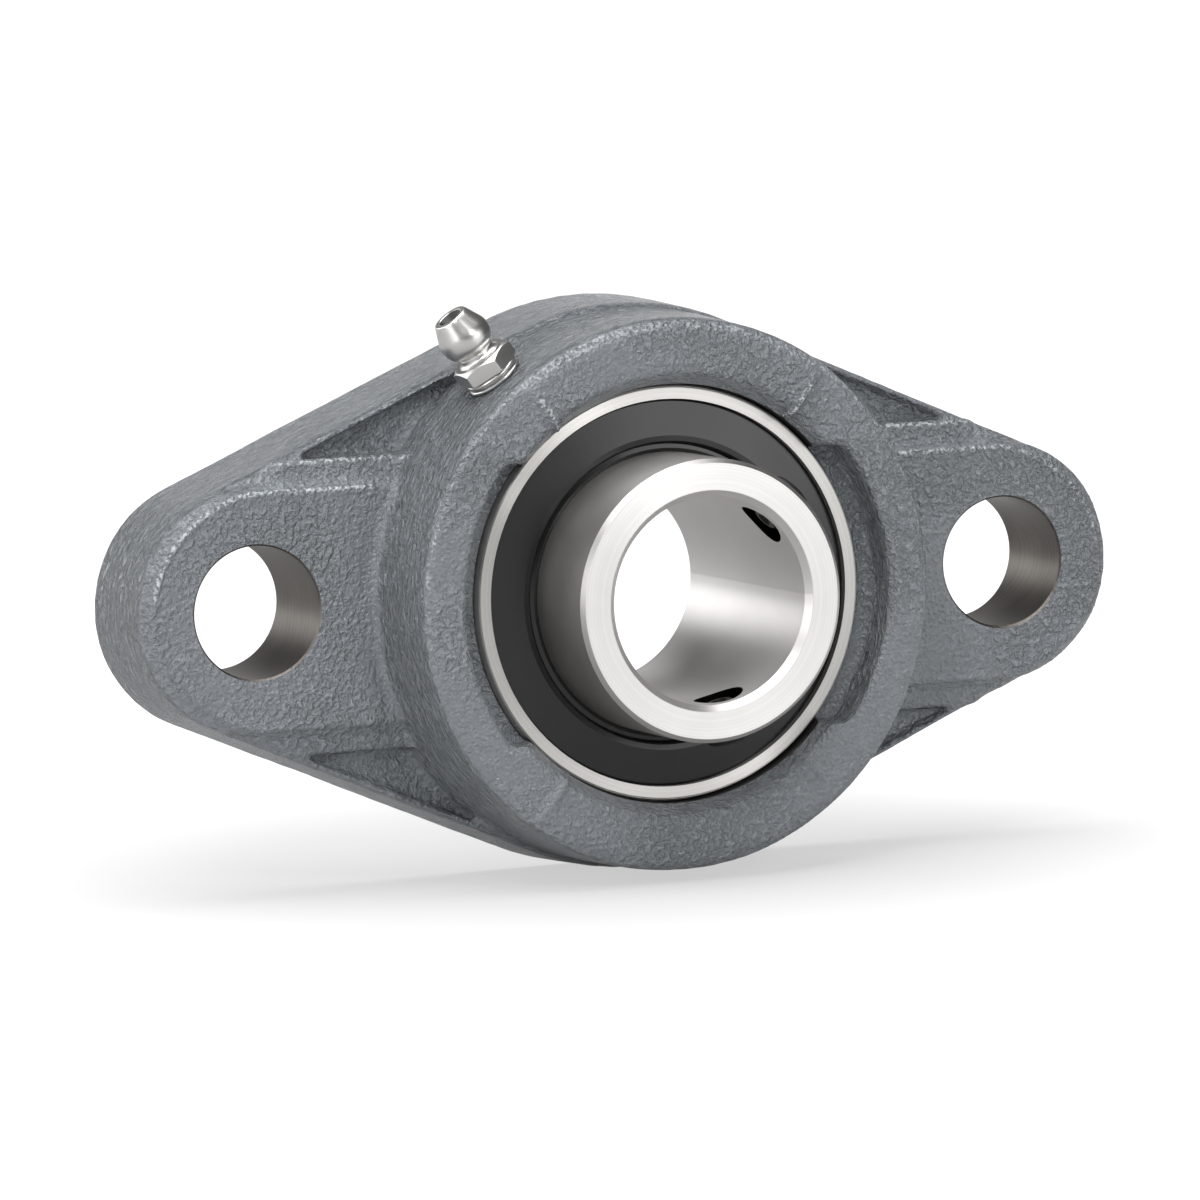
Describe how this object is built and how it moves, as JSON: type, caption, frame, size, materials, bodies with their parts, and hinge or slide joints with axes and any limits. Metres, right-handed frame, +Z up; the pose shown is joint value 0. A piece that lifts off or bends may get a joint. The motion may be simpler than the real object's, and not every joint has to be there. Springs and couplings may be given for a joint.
{
  "type": "flange bearing",
  "caption": "Cast oval flange housing, bolted through a lug at each end, holding a self-aligning sealed ball bearing insert that set screws lock to the shaft.",
  "frame": {"origin": "on the shaft axis, in the plane of the mounting face", "axes": "the shaft runs along Y; +Y points out of the mounting face and the nose points to -Y; +X runs along the long side of the flange; +Z is up, as the object stands in the picture"},
  "size_m": [0.13, 0.0358, 0.0706],
  "materials": {
    "cast_paint": "satin",
    "ground_steel": "satin",
    "turned_steel": "satin",
    "ball_steel": "gloss",
    "pressed_steel": "satin",
    "shield_coat": "satin",
    "seal_rubber": "gloss",
    "black_oxide": "satin",
    "nickel_plate": "gloss",
    "spring_wire": "satin"
  },
  "bodies": {
    "housing": {"housing": "cast_paint", "nipple_body": "nickel_plate", "nipple_spring": "spring_wire"},
    "outer_race": {"outer_ring": "ground_steel", "seal_shield_front": "shield_coat", "seal_shield_rear": "shield_coat", "seal_lip_front": "seal_rubber", "seal_lip_rear": "seal_rubber"},
    "inner_race": {"inner_ring": "turned_steel"},
    "cage": {"cage_front": "pressed_steel", "cage_rear": "pressed_steel", "cage_rivets": "pressed_steel"},
    "rolling_1": {"ball_1": "ball_steel"},
    "rolling_2": {"ball_2": "ball_steel"},
    "rolling_3": {"ball_3": "ball_steel"},
    "rolling_4": {"ball_4": "ball_steel"},
    "rolling_5": {"ball_5": "ball_steel"},
    "rolling_6": {"ball_6": "ball_steel"},
    "rolling_7": {"ball_7": "ball_steel"},
    "rolling_8": {"ball_8": "ball_steel"},
    "rolling_9": {"ball_9": "ball_steel"},
    "screw_a": {"set_screw_a": "black_oxide"},
    "screw_b": {"set_screw_b": "black_oxide"},
    "nipple_valve": {"nipple_ball": "ball_steel"}
  },
  "joints": [
    {"name": "align_tilt", "type": "hinge", "parent": "housing", "child": "outer_race", "pos_m": [0, -0.016, 0], "axis": [1, 0, 0], "range_deg": [-2, 2]},
    {"name": "shaft_spin", "type": "hinge", "parent": "outer_race", "child": "inner_race", "pos_m": [0, -0.016, 0], "axis": [0, 1, 0], "continuous": true},
    {"name": "cage_spin", "type": "hinge", "parent": "outer_race", "child": "cage", "pos_m": [0, -0.016, 0], "axis": [0, 1, 0], "continuous": true},
    {"name": "ball_spin_1", "type": "hinge", "parent": "cage", "child": "rolling_1", "pos_m": [0, -0.016, 0.01952], "axis": [0, 1, 0], "continuous": true},
    {"name": "ball_spin_2", "type": "hinge", "parent": "cage", "child": "rolling_2", "pos_m": [-0.01255, -0.016, 0.01495], "axis": [0, 1, 0], "continuous": true},
    {"name": "ball_spin_3", "type": "hinge", "parent": "cage", "child": "rolling_3", "pos_m": [-0.01922, -0.016, 0.00339], "axis": [0, 1, 0], "continuous": true},
    {"name": "ball_spin_4", "type": "hinge", "parent": "cage", "child": "rolling_4", "pos_m": [-0.0169, -0.016, -0.00976], "axis": [0, 1, 0], "continuous": true},
    {"name": "ball_spin_5", "type": "hinge", "parent": "cage", "child": "rolling_5", "pos_m": [-0.00668, -0.016, -0.01834], "axis": [0, 1, 0], "continuous": true},
    {"name": "ball_spin_6", "type": "hinge", "parent": "cage", "child": "rolling_6", "pos_m": [0.00668, -0.016, -0.01834], "axis": [0, 1, 0], "continuous": true},
    {"name": "ball_spin_7", "type": "hinge", "parent": "cage", "child": "rolling_7", "pos_m": [0.0169, -0.016, -0.00976], "axis": [0, 1, 0], "continuous": true},
    {"name": "ball_spin_8", "type": "hinge", "parent": "cage", "child": "rolling_8", "pos_m": [0.01922, -0.016, 0.00339], "axis": [0, 1, 0], "continuous": true},
    {"name": "ball_spin_9", "type": "hinge", "parent": "cage", "child": "rolling_9", "pos_m": [0.01255, -0.016, 0.01495], "axis": [0, 1, 0], "continuous": true},
    {"name": "set_screw_a_travel", "type": "slide", "parent": "inner_race", "child": "screw_a", "axis": [0.7314, 0, 0.682], "range_m": [-0.001, 0.003]},
    {"name": "set_screw_b_travel", "type": "slide", "parent": "inner_race", "child": "screw_b", "axis": [0.225, 0, -0.9744], "range_m": [-0.001, 0.003]},
    {"name": "nipple_valve_travel", "type": "slide", "parent": "housing", "child": "nipple_valve", "axis": [0.6018, 0, -0.7986], "range_m": [0, 0.001], "stiffness_N_per_m": 400, "springref_m": -0.0005, "deforming": ["nipple_spring"]}
  ],
  "couplings": [
    {"joint": "cage_spin", "follows": "shaft_spin", "ratio": 0.39833},
    {"joint": "ball_spin_1", "follows": "shaft_spin", "ratio": -2.3574},
    {"joint": "ball_spin_2", "follows": "shaft_spin", "ratio": -2.3574},
    {"joint": "ball_spin_3", "follows": "shaft_spin", "ratio": -2.3574},
    {"joint": "ball_spin_4", "follows": "shaft_spin", "ratio": -2.3574},
    {"joint": "ball_spin_5", "follows": "shaft_spin", "ratio": -2.3574},
    {"joint": "ball_spin_6", "follows": "shaft_spin", "ratio": -2.3574},
    {"joint": "ball_spin_7", "follows": "shaft_spin", "ratio": -2.3574},
    {"joint": "ball_spin_8", "follows": "shaft_spin", "ratio": -2.3574},
    {"joint": "ball_spin_9", "follows": "shaft_spin", "ratio": -2.3574}
  ]
}
